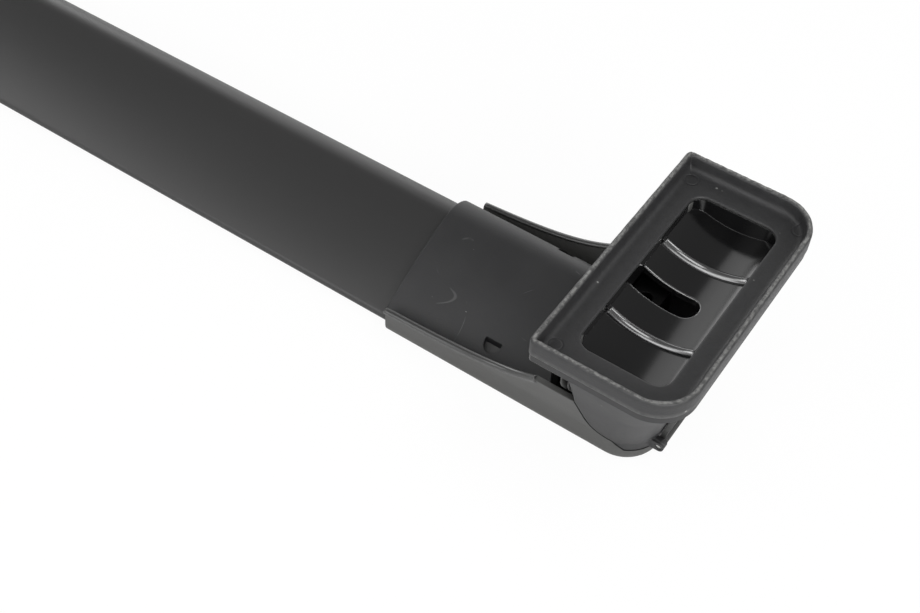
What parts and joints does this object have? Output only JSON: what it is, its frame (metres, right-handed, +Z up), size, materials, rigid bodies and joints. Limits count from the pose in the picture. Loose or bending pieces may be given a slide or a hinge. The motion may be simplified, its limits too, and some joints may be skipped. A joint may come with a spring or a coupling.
{
  "type": "roof rack crossbar",
  "caption": "Aerofoil roof rack crossbar with a moulded clamp foot at each end, rubber pads, ribbed saddles, lockable end lids and a slotted load face; it lies with its feet up.",
  "frame": {"origin": "midway along the bar, on the plane that the two end covers rest on", "axes": "+X along the bar to the right foot, +Y to the round leading edge, +Z up to the pads; the bar lies on its load side as in the picture, and is turned over in use"},
  "size_m": [1.053, 0.112, 0.072],
  "materials": {
    "bar": "satin black anodised",
    "strip": "matte",
    "moulding": "fine grain",
    "cover": "fine grain",
    "lid": "fine grain",
    "pad": "matte, dusty",
    "steel": "zinc plated",
    "carriage": "black coated steel",
    "lock": "satin chrome"
  },
  "bodies": {
    "base": {"crossbar": "bar", "slot_strip": "strip", "right_foot_body": "moulding", "right_pad": "pad", "right_cover": "cover", "right_bar_screws": "steel", "right_thrust_washer": "steel", "right_hinge_pin": "steel", "left_foot_body": "moulding", "left_pad": "pad", "left_cover": "cover", "left_bar_screws": "steel", "left_thrust_washer": "steel", "left_hinge_pin": "steel"},
    "right_lid": {"right_lid": "lid", "right_lock_barrel": "lock"},
    "right_lock": {"right_lock_plug": "lock"},
    "right_bolt": {"right_clamp_bolt": "steel", "right_bolt_clip": "steel"},
    "right_carriage": {"right_clamp_carriage": "carriage"},
    "left_lid": {"left_lid": "lid", "left_lock_barrel": "lock"},
    "left_lock": {"left_lock_plug": "lock"},
    "left_bolt": {"left_clamp_bolt": "steel", "left_bolt_clip": "steel"},
    "left_carriage": {"left_clamp_carriage": "carriage"}
  },
  "joints": [
    {"name": "right_lid_hinge", "type": "hinge", "parent": "base", "child": "right_lid", "pos_m": [0.51266, 0, 0.01107], "axis": [0, 1, 0], "range_deg": [0, 80]},
    {"name": "right_lock_turn", "type": "hinge", "parent": "right_lid", "child": "right_lock", "pos_m": [0.51694, 0.014, 0.04184], "axis": [0.9789, 0, -0.2045], "range_deg": [0, 90]},
    {"name": "right_bolt_turn", "type": "hinge", "parent": "base", "child": "right_bolt", "pos_m": [0.5, 0, 0.042], "axis": [-1, 0, 0], "range_deg": [0, 3240]},
    {"name": "right_carriage_slide", "type": "slide", "parent": "base", "child": "right_carriage", "axis": [1, 0, 0], "range_m": [0, 0.01125]},
    {"name": "left_lid_hinge", "type": "hinge", "parent": "base", "child": "left_lid", "pos_m": [-0.51266, 0, 0.01107], "axis": [0, -1, 0], "range_deg": [0, 80]},
    {"name": "left_lock_turn", "type": "hinge", "parent": "left_lid", "child": "left_lock", "pos_m": [-0.51694, 0.014, 0.04184], "axis": [0.9789, 0, 0.2045], "range_deg": [0, 90]},
    {"name": "left_bolt_turn", "type": "hinge", "parent": "base", "child": "left_bolt", "pos_m": [-0.5, 0, 0.042], "axis": [1, 0, 0], "range_deg": [0, 3240]},
    {"name": "left_carriage_slide", "type": "slide", "parent": "base", "child": "left_carriage", "axis": [-1, 0, 0], "range_m": [0, 0.01125]}
  ],
  "couplings": [
    {"joint": "right_bolt_turn", "follows": "right_carriage_slide", "rad_per_m": 5026.5},
    {"joint": "left_bolt_turn", "follows": "left_carriage_slide", "rad_per_m": 5026.5}
  ]
}
